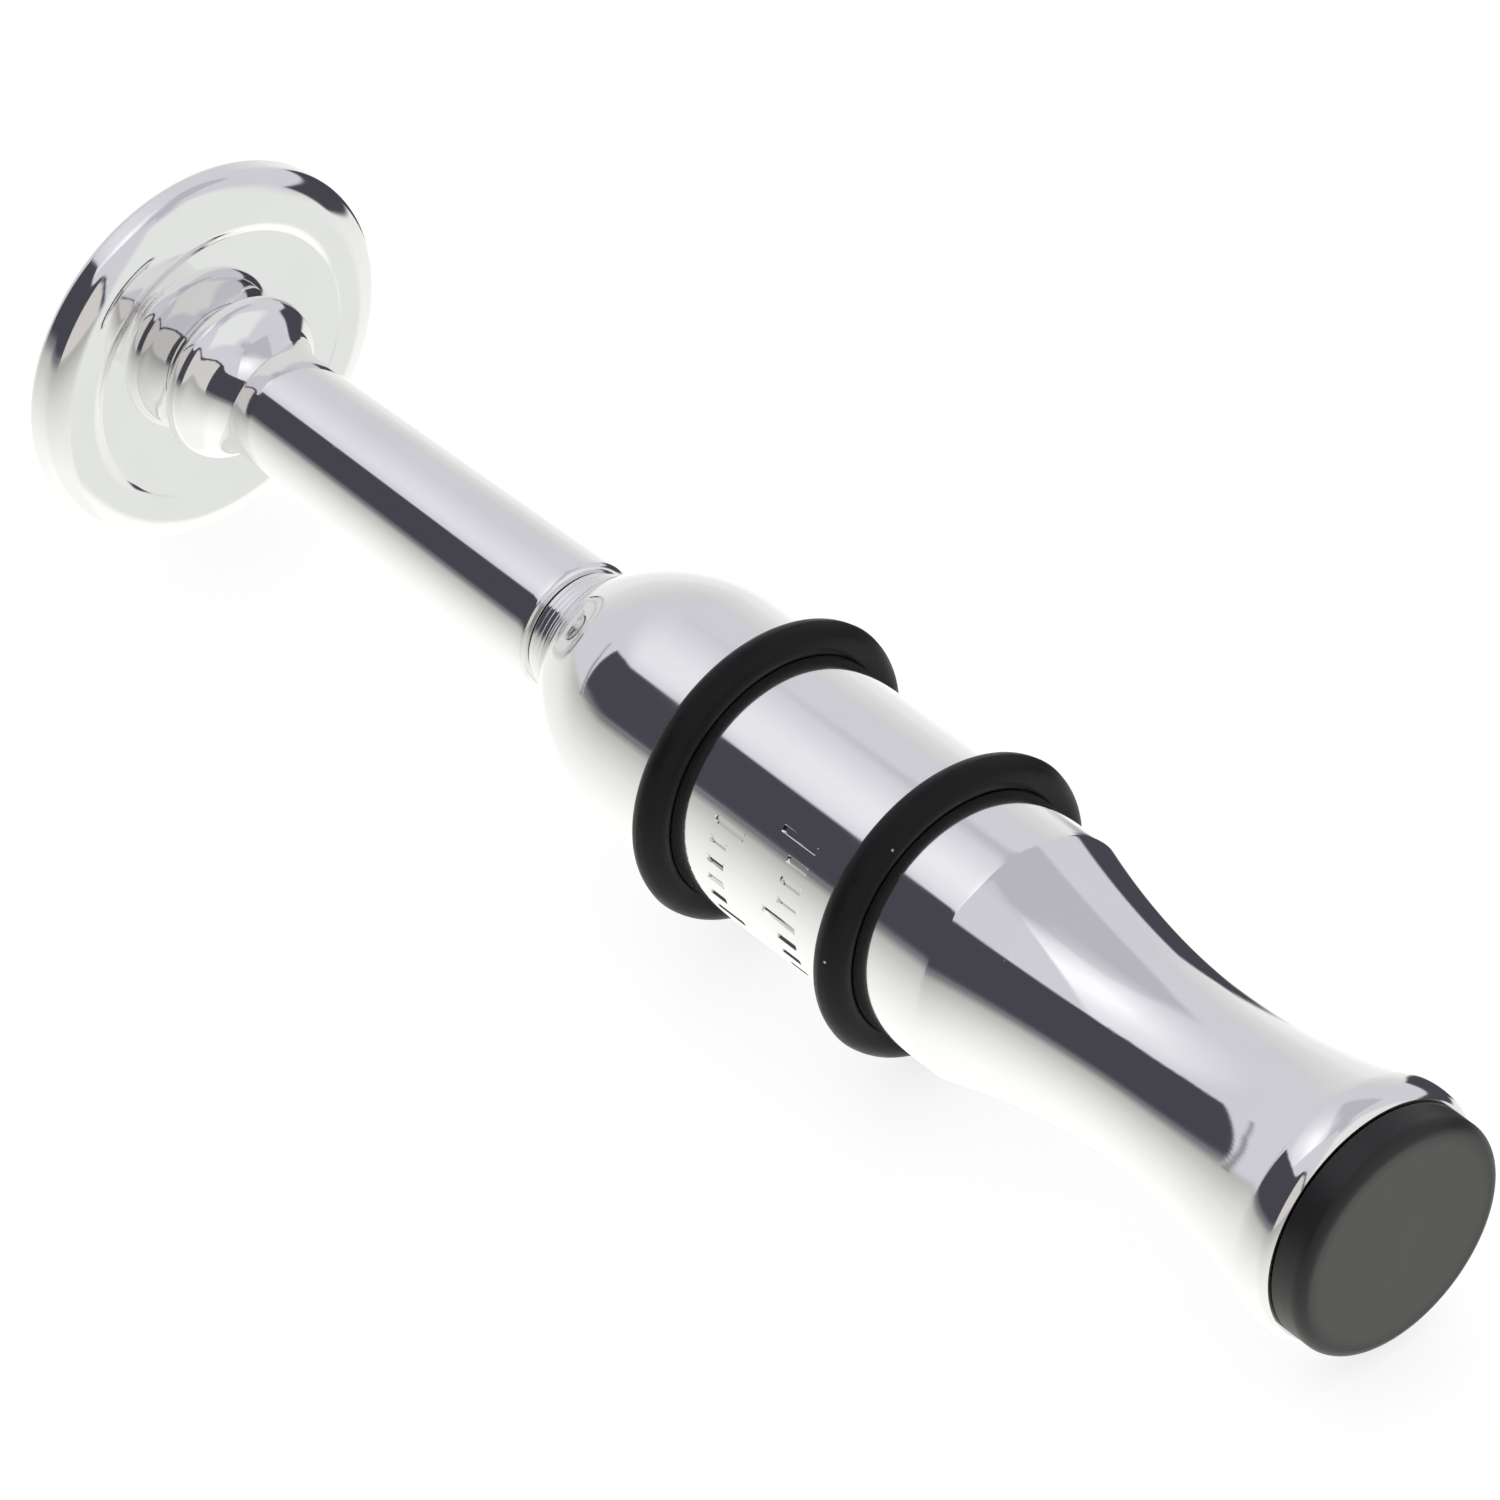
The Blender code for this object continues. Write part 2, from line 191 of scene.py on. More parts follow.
def turned(node, outline, material, angles=None, dent=None, outside=None):
    """A turned piece that stands for a CAD node. The outline runs clockwise: outside along +X, bore back.

    An outline whose ends are on the axis makes a solid, any other a closed ring. angles are the turns
    of its lengthwise edges, and dent(station, angle) is how deep the outside is cut there.
    """
    angles = angles or [math.tau * side / SIDES for side in range(SIDES)]
    count = len(angles)
    on_axis = outline[0][1] == 0 and outline[-1][1] == 0
    lengths = [0.0]
    for a, b in zip(outline, outline[1:]):
        lengths.append(lengths[-1] + math.dist(a, b))
    wear = wear_along(outline, lengths)
    verts, rings, wears = [], [], []
    for (station, radius), value in zip(outline, wear):
        if radius == 0:
            rings.append([len(verts)] * count)
            verts.append(place(station))
            wears.append(value)
            continue
        rings.append(list(range(len(verts), len(verts) + count)))
        for angle in angles:
            depth = dent(station, angle) if dent and radius > outside else 0.0
            verts.append(place(station, radius - depth, angle))
            wears.append(value)
    faces, turned_uv = [], []
    pairs = list(zip(range(len(outline)), range(1, len(outline))))
    if not on_axis:
        pairs.append((len(outline) - 1, 0))
    for a, b in pairs:
        along_a, along_b = lengths[a], lengths[b] if b else lengths[a] + math.dist(outline[a], outline[0])
        for side in range(count):
            after = (side + 1) % count
            share, next_share = angles[side] / math.tau, angles[after] / math.tau if after else 1.0
            loop = [(rings[a][side], share, along_a), (rings[a][after], next_share, along_a)]
            loop += [(rings[b][after], next_share, along_b), (rings[b][side], share, along_b)]
            kept = [item for number, item in enumerate(loop) if item[0] != loop[number - 1][0]]
            faces.append([item[0] for item in kept])
            turned_uv += [(item[1], item[2]) for item in kept]
    mesh = bpy.data.meshes.new(node + "_fine")
    mesh.from_pydata(verts, [], faces)
    layer = mesh.uv_layers.new(name="turned")
    layer.data.foreach_set("uv", [value for pair in turned_uv for value in pair])
    attribute = mesh.attributes.new("wear", "FLOAT", "POINT")
    attribute.data.foreach_set("value", wears)
    mesh.materials.append(material)
    mesh.shade_smooth()
    mesh.set_sharp_from_angle(angle=SHARP_ANGLE)
    piece = bpy.data.objects.new(node + "_fine", mesh)
    bpy.context.scene.collection.objects.link(piece)
    weighted = piece.modifiers.new("weighted", "WEIGHTED_NORMAL")
    weighted.keep_sharp = True
    weighted.weight = 100
    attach(piece, BODY_OF[node])
    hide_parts(node)
    return piece


# ---------------------------------------------------------------- materials


# Colour sockets of a Mix node, whose float and vector sockets have the same names
MIX_A, MIX_B, MIX_RESULT = 6, 7, 2


class Paint:
    """A Principled material with short calls for the nodes that vary it."""

    def __init__(self, name, colour, roughness, metallic=0.0, **sockets):
        self.material = bpy.data.materials.new(name)
        self.material.use_nodes = True
        self.tree = self.material.node_tree
        self.shader = self.tree.nodes["Principled BSDF"]
        self.shader.inputs["Base Color"].default_value = (*colour, 1.0)
        self.shader.inputs["Roughness"].default_value = roughness
        self.shader.inputs["Metallic"].default_value = metallic
        for socket, value in sockets.items():
            self.shader.inputs[socket.replace("_", " ")].default_value = value
        self.material.diffuse_color = (*colour, 1.0)
        coords = self.tree.nodes.new("ShaderNodeTexCoord")
        self.object = coords.outputs["Object"]
        self.uv = coords.outputs["UV"]

    def feed(self, socket, value):
        """Links a node's output to a socket, or sets the socket to a plain value."""
        if isinstance(value, bpy.types.NodeSocket):
            self.tree.links.new(value, socket)
        elif isinstance(value, tuple) and len(value) == 3 and socket.type == "RGBA":
            socket.default_value = (*value, 1.0)
        else:
            socket.default_value = value

    def scaled(self, vector, scale):
        node = self.tree.nodes.new("ShaderNodeMapping")
        self.feed(node.inputs["Vector"], vector)
        node.inputs["Scale"].default_value = scale
        return node.outputs["Vector"]

    def noise(self, vector, scale, detail=2.0, rough=0.5, warp=0.0):
        node = self.tree.nodes.new("ShaderNodeTexNoise")
        self.feed(node.inputs["Vector"], vector)
        node.inputs["Scale"].default_value = scale
        node.inputs["Detail"].default_value = detail
        node.inputs["Roughness"].default_value = rough
        node.inputs["Distortion"].default_value = warp
        return node.outputs["Fac"]

    def cells(self, vector, scale, output="Distance"):
        node = self.tree.nodes.new("ShaderNodeTexVoronoi")
        self.feed(node.inputs["Vector"], vector)
        node.inputs["Scale"].default_value = scale
        return node.outputs[output]

    def fit(self, value, low, high, out_low, out_high):
        """Maps the range from low to high onto another range, and clamps it there."""
        node = self.tree.nodes.new("ShaderNodeMapRange")
        self.feed(node.inputs["Value"], value)
        node.inputs["From Min"].default_value = low
        node.inputs["From Max"].default_value = high
        node.inputs["To Min"].default_value = out_low
        node.inputs["To Max"].default_value = out_high
        return node.outputs["Result"]

    def math(self, operation, a, b):
        node = self.tree.nodes.new("ShaderNodeMath")
        node.operation = operation
        self.feed(node.inputs[0], a)
        self.feed(node.inputs[1], b)
        return node.outputs["Value"]

    def mix(self, share, a, b):
        node = self.tree.nodes.new("ShaderNodeMix")
        node.data_type = "RGBA"
        self.feed(node.inputs["Factor"], share)
        self.feed(node.inputs[MIX_A], a)
        self.feed(node.inputs[MIX_B], b)
        return node.outputs[MIX_RESULT]

    def wear(self):
        """The mesh's own measure of how exposed its corners are."""
        node = self.tree.nodes.new("ShaderNodeAttribute")
        node.attribute_name = "wear"
        return node.outputs["Fac"]

    def side(self, low, high):
        """0 before one x of the object, 1 after another."""
        node = self.tree.nodes.new("ShaderNodeSeparateXYZ")
        self.feed(node.inputs["Vector"], self.object)
        return self.fit(node.outputs["X"], low, high, 0.0, 1.0)

    def from_axis(self):
        """Distance from the turning axis in metres."""
        node = self.tree.nodes.new("ShaderNodeMapping")
        self.feed(node.inputs["Vector"], self.object)
        node.inputs["Scale"].default_value = (0.0, 1.0, 1.0)
        node.inputs["Location"].default_value = (0.0, 0.0, -AXIS_Z)
        length = self.tree.nodes.new("ShaderNodeVectorMath")
        length.operation = "LENGTH"
        self.feed(length.inputs[0], node.outputs["Vector"])
        return length.outputs["Value"]

    def bump(self, height, depth, below=None):
        """Adds a bump of the given depth in metres, over one added before."""
        node = self.tree.nodes.new("ShaderNodeBump")
        node.inputs["Strength"].default_value = 1.0
        node.inputs["Distance"].default_value = depth
        self.feed(node.inputs["Height"], height)
        if below:
            self.feed(node.inputs["Normal"], below)
        self.feed(self.shader.inputs["Normal"], node.outputs["Normal"])
        return node.outputs["Normal"]

    def colour(self, value):
        self.feed(self.shader.inputs["Base Color"], value)

    def roughness(self, value):
        self.feed(self.shader.inputs["Roughness"], value)


def turning_lines(paint, per_mm):
    """Fine rings left by the lathe, from the distance along the outline."""
    return paint.noise(paint.scaled(paint.uv, (0.0, per_mm, 0.0)), 1.0, 3.0, 0.6)


def polished_metal():
    """Buffed aluminium: mirror finish with faint rings, hairline scratches, smudges and softened edges."""
    paint = Paint("polished_metal", (0.87, 0.868, 0.872), 0.05, 1.0)
    lines = turning_lines(paint, 5.0)
    smudge = paint.noise(paint.object, 130.0, 4.0, 0.6)
    film = paint.fit(smudge, 0.45, 0.75, 0.0, 1.0)
    hairs = paint.noise(paint.scaled(paint.object, (900.0, 5200.0, 5200.0)), 1.0, 2.0, 0.7, 0.4)
    scratched = paint.fit(hairs, 0.66, 0.74, 0.0, 1.0)
    rough = paint.fit(lines, 0.3, 0.8, 0.028, 0.05)
    rough = paint.math("ADD", rough, paint.math("MULTIPLY", film, 0.035))
    rough = paint.math("ADD", rough, paint.math("MULTIPLY", scratched, 0.08))
    rough = paint.math("ADD", rough, paint.math("MULTIPLY", paint.wear(), 0.09))
    paint.roughness(rough)
    clean, filmed = (0.88, 0.877, 0.882), (0.82, 0.812, 0.82)
    paint.colour(paint.mix(paint.math("MULTIPLY", film, 0.35), clean, filmed))
    ripple = paint.bump(paint.noise(paint.object, 320.0, 1.0, 0.4), 1.2e-6)
    paint.bump(lines, 2.5e-7, ripple)
    return paint.material


def brass():
    """Drawn brass with patches of brown tarnish."""
    paint = Paint("brass", (0.78, 0.6, 0.3), 0.2, 1.0)
    lines = turning_lines(paint, 4.0)
    tarnish = paint.noise(paint.object, 220.0, 5.0, 0.6)
    clean, tarnished = (0.80, 0.62, 0.31), (0.56, 0.38, 0.17)
    paint.colour(paint.mix(paint.fit(tarnish, 0.45, 0.75, 0.0, 0.7), clean, tarnished))
    rough = paint.math("ADD", paint.fit(lines, 0.3, 0.8, 0.1, 0.22), paint.fit(tarnish, 0.4, 0.8, 0.0, 0.15))
    paint.roughness(rough)
    paint.bump(lines, 1.0e-6)
    return paint.material


def spring_steel():
    """Satin steel with a faint blue from its hardening."""
    paint = Paint("spring_steel", (0.55, 0.55, 0.57), 0.32, 1.0)
    grain = paint.noise(paint.object, 3000.0, 3.0, 0.6)
    paint.roughness(paint.fit(grain, 0.3, 0.7, 0.24, 0.4))
    blued = paint.noise(paint.object, 500.0, 2.0)
    paint.colour(paint.mix(blued, (0.60, 0.60, 0.62), (0.42, 0.43, 0.47)))
    paint.bump(grain, 1.5e-6)
    return paint.material


def grip_rubber():
    """Moulded nitrile: satin black with a fine skin, drag marks and a few specks of dust."""
    paint = Paint("grip_rubber", (0.008, 0.007, 0.008), 0.42, Specular_IOR_Level=0.12)
    skin = paint.noise(paint.object, 5200.0, 3.0, 0.6)
    patches = paint.noise(paint.object, 420.0, 3.0, 0.6)
    drag = paint.noise(paint.scaled(paint.uv, (26.0, 3.0, 0.0)), 1.0, 3.0, 0.6)
    rough = paint.math("ADD", paint.fit(patches, 0.3, 0.7, 0.3, 0.44), paint.fit(drag, 0.4, 0.7, 0.0, 0.08))
    paint.roughness(rough)
    speck = paint.fit(paint.cells(paint.object, 520.0), 0.045, 0.07, 1.0, 0.0)
    few = paint.fit(paint.noise(paint.object, 260.0, 0.0), 0.6, 0.62, 0.0, 1.0)
    base = paint.mix(patches, (0.006, 0.005, 0.006), (0.011, 0.010, 0.011))
    dust = (0.42, 0.40, 0.38)
    paint.colour(paint.mix(paint.math("MULTIPLY", speck, few), base, dust))
    fine = paint.bump(skin, 4.0e-6)
    paint.bump(patches, 8.0e-6, fine)
    return paint.material


def seal_rubber():
    """Black rubber with an uneven film of grease."""
    paint = Paint("seal_rubber", (0.03, 0.03, 0.03), 0.3, Specular_IOR_Level=0.5)
    film = paint.noise(paint.object, 700.0, 3.0, 0.6)
    paint.roughness(paint.fit(film, 0.35, 0.65, 0.14, 0.42))
    paint.colour(paint.mix(film, (0.018, 0.018, 0.018), (0.045, 0.044, 0.042)))
    paint.bump(paint.noise(paint.object, 4200.0, 2.0), 3.0e-6)
    return paint.material


FACE_FADE_R = (7.3, 8.4)
FACE_FADE_DEPTH = (0.1, 0.01)


def plug_plastic():
    """Machined black acetal: matte face with fine rings and a smoother rounded edge. Its face is painted
    lighter and its rounded edge darker, as lit and shaded sides of the same plastic.
    """
    paint = Paint("plug_plastic", (0.06, 0.06, 0.056), 0.5, Specular_IOR_Level=0.45)
    rings = turning_lines(paint, 7.0)
    mottle = paint.noise(paint.object, 260.0, 4.0, 0.6)
    inner_r, outer_r = (radius * MM for radius in FACE_FADE_R)
    deep_x, near_x = (PLUG_FACE_X - depth * MM for depth in FACE_FADE_DEPTH)
    on_face = paint.fit(paint.from_axis(), inner_r, outer_r, 1.0, 0.0)
    on_face = paint.math("MULTIPLY", on_face, paint.side(deep_x, near_x))
    # Painted light: the face's grey is painted lighter than the rest of the plug, as if lit. Its mottle is
    # real.
    face_painted_lighter = paint.mix(mottle, (0.038, 0.040, 0.037), (0.048, 0.050, 0.046))
    # Painted shade: near black on the rounded edge and side, as if shaded. The material is the same as the
    # face.
    edge = (0.007, 0.006, 0.007)
    paint.colour(paint.mix(on_face, edge, face_painted_lighter))
    rough = paint.math("ADD", paint.fit(rings, 0.3, 0.7, 0.38, 0.48), paint.math("MULTIPLY", on_face, 0.1))
    paint.roughness(rough)
    fine = paint.bump(rings, 3.0e-6)
    paint.bump(paint.noise(paint.object, 6000.0, 2.0), 2.0e-6, fine)
    return paint.material


def holder_plastic():
    """Turned dark acetal with faint rings."""
    paint = Paint("holder_plastic", (0.05, 0.05, 0.055), 0.42)
    rings = turning_lines(paint, 5.0)
    paint.roughness(paint.fit(rings, 0.3, 0.7, 0.32, 0.5))
    mottle = paint.noise(paint.object, 400.0, 3.0)
    paint.colour(paint.mix(mottle, (0.038, 0.038, 0.043), (0.062, 0.062, 0.066)))
    paint.bump(rings, 4.0e-6)
    return paint.material


def board_plastic():
    """Smooth amber plastic, slightly clouded."""
    paint = Paint("board_plastic", (0.55, 0.5, 0.38), 0.16, Coat_Weight=0.3, Coat_Roughness=0.08)
    cloud = paint.noise(paint.object, 300.0, 4.0, 0.55)
    paint.colour(paint.mix(cloud, (0.60, 0.53, 0.38), (0.46, 0.38, 0.24)))
    paint.roughness(paint.fit(paint.noise(paint.object, 1800.0, 3.0), 0.3, 0.7, 0.12, 0.28))
    paint.bump(paint.noise(paint.object, 2600.0, 2.0), 1.5e-6)
    return paint.material


def reed_film():
    """Yellowish film that lets some light through, streaked along its length."""
    paint = Paint("reed_film", (0.75, 0.72, 0.6), 0.22, Transmission_Weight=0.25)
    streak = paint.noise(paint.scaled(paint.object, (500.0, 4000.0, 4000.0)), 1.0, 3.0, 0.6)
    paint.colour(paint.mix(streak, (0.80, 0.77, 0.66), (0.66, 0.62, 0.50)))
    paint.roughness(paint.fit(streak, 0.3, 0.7, 0.16, 0.34))
    paint.bump(streak, 1.0e-6)
    return paint.material


def cork():
    """Cut cork with dark pores."""
    paint = Paint("cork", (0.5, 0.33, 0.18), 0.85)
    grain = paint.cells(paint.object, 1500.0, "Color")
    pores = paint.fit(paint.cells(paint.object, 1100.0), 0.1, 0.35, 1.0, 0.0)
    base = paint.mix(paint.noise(paint.object, 700.0, 4.0), (0.58, 0.40, 0.23), (0.42, 0.26, 0.13))
    flecked = paint.mix(0.12, base, grain)
    pore_brown = (0.16, 0.09, 0.045)
    paint.colour(paint.mix(paint.math("MULTIPLY", pores, 0.8), flecked, pore_brown))
    paint.bump(paint.cells(paint.object, 1500.0), 6.0e-5)
    return paint.material


METAL = polished_metal()
BRASS = brass()
STEEL = spring_steel()
GRIP = grip_rubber()
SEAL = seal_rubber()
PLUG = plug_plastic()
HOLDER = holder_plastic()
BOARD = board_plastic()
FILM = reed_film()
CORK = cork()


# ---------------------------------------------------------------- bell and stem

AIRWAY_R = 2.95
BELL_THICK = 3.7


def bell_disc():
    """Flange with rounded rim, shallow dished back and flared mouth, on a hollow spigot."""
    rim = outer_radius("bell_disc")
    end = stations("bell_disc")[1]
    mouth_r, far_edge_r, spigot_r = 11.8, 0.8, 3.55
    edge_depth, crest_r, edge_steps = 2.1, 12.1, 20
    dish_at, dish_r = BELL_THICK - 0.38, 10.6
    slope_pull, slope_end = (BELL_THICK, 11.3), (dish_at + 0.03, 10.75)
    flare_pull, flare_end = (1.9, 4.6), (3.0, AIRWAY_R)
    flare = bend((0.0, mouth_r), flare_pull, flare_end, 24)
    mouth_edge, face_start = (0.05, mouth_r + 0.02), (0.0, mouth_r + 0.12)
    outline = [mouth_edge, face_start]
    outline += arc(far_edge_r, rim - far_edge_r, far_edge_r, 180, 90)
    for step in range(edge_steps + 1):
        turn = math.pi / 2 * (1 - step / edge_steps)
        station = BELL_THICK - edge_depth * (1 - math.cos(turn))
        outline.append((station, crest_r + (rim - crest_r) * math.sin(turn)))
    outline += bend((BELL_THICK, crest_r), slope_pull, slope_end, 8)
    outline += [(dish_at, dish_r), (dish_at, spigot_r), (end, spigot_r), (end, AIRWAY_R)]
    return turned("bell_disc", outline + flare[::-1], METAL)


def stem_tube():
    """Handle tube: round bead, concave neck, then a slow taper out to a square shoulder."""
    end = stations("stem_tube")[1]
    bead_r, bead_at, core_r = 1.25, 5.7, 5.21
    foot, foot_r = BELL_THICK - 0.36, 4.9
    neck_pull, thinnest = (7.72, 4.5), (10.3, 4.42)
    shoulder_r, edge_r = 5.05, 0.45
    socket_r, socket_end = 3.85, 9.3
    slide_socket_r, slide_start = 3.7, 35.4
    bead = arc(bead_at, core_r, bead_r, 150, 35, 6)
    outline = [(foot, socket_r), (foot, foot_r)]
    outline += bend((foot, foot_r), (foot + 0.5, foot_r + 0.2), bead[0], 4) + bead[1:]
    outline += bend(bead[-1], neck_pull, thinnest, 14)
    outline += [(end - 1.0, shoulder_r - 0.01)]
    outline += arc(end - edge_r, shoulder_r - edge_r, edge_r, 88, 0)
    outline += [(end, slide_socket_r), (slide_start, slide_socket_r), (slide_start, AIRWAY_R)]
    outline += [(socket_end, AIRWAY_R), (socket_end, socket_r)]
    return turned("stem_tube", outline, METAL)


SLEEVE_ROUNDING = 0.12


def plain_sleeve(node, material, bore_r):
    """A plain ring or sleeve with softened corners, between a CAD node's ends."""
    start, end = stations(node)
    outer_r = outer_radius(node)
    corners = [(start, bore_r), (start, outer_r), (end, outer_r), (end, bore_r)]
    return turned(node, rounded(corners, SLEEVE_ROUNDING), material)


def groove(station, half_width, outer_r, groove_r):
    """Corners of a square groove in a sleeve's outside."""
    front, rear = station - half_width, station + half_width
    return [(front, outer_r), (front, groove_r), (rear, groove_r), (rear, outer_r)]


def grooved_sleeve(node, material, grooves, groove_r, half_width, inner):
    """A sleeve with square seal grooves. inner lists its bore's corners, from the far end back."""
    start, end = stations(node)
    outer_r = outer_radius(node)
    corners = [(start, outer_r)]
    for station in grooves:
        corners += groove(station, half_width, outer_r, groove_r)
    corners += [(end, outer_r)] + inner
    return turned(node, rounded(corners, SLEEVE_ROUNDING), material)


RING_STEPS = 48
FLASH_SHARPNESS = 0.004


def seal_ring(node, material, flash=0.0):
    """An O-ring. The mould leaves a thin raised line round its outside, flash millimetres high."""
    start, end = stations(node)
    section_r = (end - start) / 2
    centre_r = outer_radius(node) - section_r
    station = (start + end) / 2
    outline = []
    for step in range(RING_STEPS):
        angle = math.pi - math.tau * step / RING_STEPS
        size = section_r + flash * math.exp(-((math.sin(angle) - 1) / FLASH_SHARPNESS) ** 2)
        outline.append((station + size * math.cos(angle), centre_r + size * math.sin(angle)))
    return turned(node, outline, material)


# ---------------------------------------------------------------- barrel

BARREL_R = outer_radius("barrel")
NOSE_END = 57.0
NOSE_LENGTH = 11.0
NOSE_FALL = 4.3
NOSE_POWER = 2.1
NOSE_BORE_R = 4.9
RING_SEAT_R = 8.7
RING_SEAT_HALF = 1.1
RING_SEAT_EDGE = 0.2
FRONT_RING_AT = (middle("grip_ring_front").x - FACE_X) / MM
REAR_RING_AT = (middle("grip_ring_rear").x - FACE_X) / MM

# Rows of index marks: how many, the first one's turn in degrees, every how many a long one comes,
# and the first and last station of a long one and of a short one
TICK_ROWS = (
    (8, -127.0, 4, (74.9, 78.3), (76.3, 78.3)),
    (6, -112.8, 5, (69.2, 72.2), (69.2, 70.9)),
)

# Marks from one to the next and half of one, as turns, then their depth and the width of their sloped walls
TICK_PITCH = math.radians(9.5)
TICK_HALF = math.radians(1.7)
TICK_DEPTH = 0.2
TICK_SLOPE = 0.11
ROUND_OFF = 1e-6


def nose_radius(station):
    """Outside of the barrel's nose: one curve that runs smoothly into the straight part."""
    return BARREL_R - NOSE_FALL * (max(0.0, NOSE_END - station) / NOSE_LENGTH) ** NOSE_POWER


def gland_nut():
    """Nut with fine ridges that closes the nose."""
    end = stations("gland_nut")[1]
    inner_r, shank_r, rounding = 3.75, 4.75, 0.08
    stem_gap, barrel_gap = 0.06, 0.05
    head_start = stations("stem_tube")[1] + stem_gap
    head_end = stations("barrel")[0] - barrel_gap
    ridges, front_r, rear_r, ridge_depth = 4, 4.6, 5.12, 0.16
    pitch = (head_end - head_start) / ridges
    crest_start, crest_end = 0.3, 0.7
    corners = [(head_start, inner_r)]
    for ridge in range(ridges):
        low = head_start + pitch * ridge
        crest = front_r + (rear_r - front_r) * ridge / (ridges - 1)
        corners += [(low, crest - ridge_depth)]
        corners += [(low + pitch * crest_start, crest), (low + pitch * crest_end, crest)]
    corners += [(head_end, rear_r - ridge_depth), (head_end, shank_r), (end, shank_r), (end, inner_r)]
    return turned("gland_nut", rounded(corners, rounding), METAL)


def tick_marks():
    """Engraved index marks: (first station, last station, turn) of each one."""
    marks = []
    for count, first_turn, long_every, long_span, short_span in TICK_ROWS:
        for number in range(count):
            span = short_span if number % long_every else long_span
            marks.append((*span, (math.radians(first_turn) + number * TICK_PITCH) % math.tau))
    return marks


TICKS = tick_marks()


def tick_depth(station, angle):
    """Depth of the engraving at a point of the barrel's outside."""
    for start, end, turn in TICKS:
        away = abs((angle - turn + math.pi) % math.tau - math.pi)
        if start + ROUND_OFF < station < end - ROUND_OFF and away < TICK_HALF - ROUND_OFF:
            return TICK_DEPTH
    return 0.0


def tick_lines():
    """Turns and stations at which the barrel's mesh needs edges, for crisp engraving."""
    slope = TICK_SLOPE / BARREL_R
    turns = set(round(math.tau * side / SIDES, 6) for side in range(SIDES))
    steps = set()
    for start, end, turn in TICKS:
        for edge in (turn - TICK_HALF, turn + TICK_HALF):
            turns |= {round((edge + slope * side) % math.tau, 6) for side in (-1, 0, 1)}
        for edge in (start, end):
            steps |= {round(edge + TICK_SLOPE * side, 6) for side in (-1, 0, 1)}
    return sorted(turns), sorted(steps)


def ring_seat(station):
    """Square groove for a grip ring, with a point of the plain barrel before and after it."""
    wall = groove(station, RING_SEAT_HALF, BARREL_R, RING_SEAT_R)
    return [(wall[0][0] - RING_SEAT_EDGE, BARREL_R)] + wall + [(wall[-1][0] + RING_SEAT_EDGE, BARREL_R)]


def barrel():
    """Round-nosed barrel with the seats of the grip rings, engraved index marks and a wide main bore."""
    start, end = stations("barrel")
    bore_r, lip_bore_r, lip_start = 7.5, 3.9, 55.6
    chamfer, rounding, nose_margin, tick_margin = 0.05, 0.08, 0.5, 0.3
    skin_r = BARREL_R - 0.01
    turns, steps = tick_lines()
    front, rear = ring_seat(FRONT_RING_AT), ring_seat(REAR_RING_AT)
    before_ticks = [(NOSE_END + nose_margin, BARREL_R)] + front + [(steps[0] - tick_margin, BARREL_R)]
    after_ticks = [(steps[-1] + tick_margin, BARREL_R)] + rear[:3] + [(end, RING_SEAT_R)]
    outline = [(start, NOSE_BORE_R), (start, nose_radius(start) - chamfer)]
    outline += sweep(nose_radius, start + chamfer, NOSE_END, 40)
    outline += rounded(before_ticks, rounding, closed=False)
    outline += [(station, BARREL_R) for station in steps]
    outline += rounded(after_ticks, rounding, closed=False)
    outline += [(end, bore_r), (NOSE_END, bore_r), (NOSE_END, lip_bore_r), (lip_start, lip_bore_r)]
    outline += [(lip_start, NOSE_BORE_R)]
    return turned("barrel", outline, METAL, turns, tick_depth, skin_r)


# ---------------------------------------------------------------- mouthpiece

MOUTH_CORNER_AT = 90.5
WAIST_AT = 105.6
WAIST_R = 7.03
FLARE_AT = 121.3
FLARE_R = 9.4
RIM_AT = FLARE_AT + 1.35
RIM_R = 9.58
MOUTH_BORE_R = 5.2
SOCKET_R = 6.3
SOCKET_START = 115.5
SHOULDER_POWER = 1.85
FLARE_POWER = 2.17


def waist_radius(station):
    """Outside of the mouthpiece: hollow curves that meet at the waist."""
    if station < WAIST_AT:
        share = (WAIST_AT - station) / (WAIST_AT - MOUTH_CORNER_AT)
        return WAIST_R + (BARREL_R - WAIST_R) * share ** SHOULDER_POWER
    share = (station - WAIST_AT) / (FLARE_AT - WAIST_AT)
    return WAIST_R + (FLARE_R - WAIST_R) * share ** FLARE_POWER


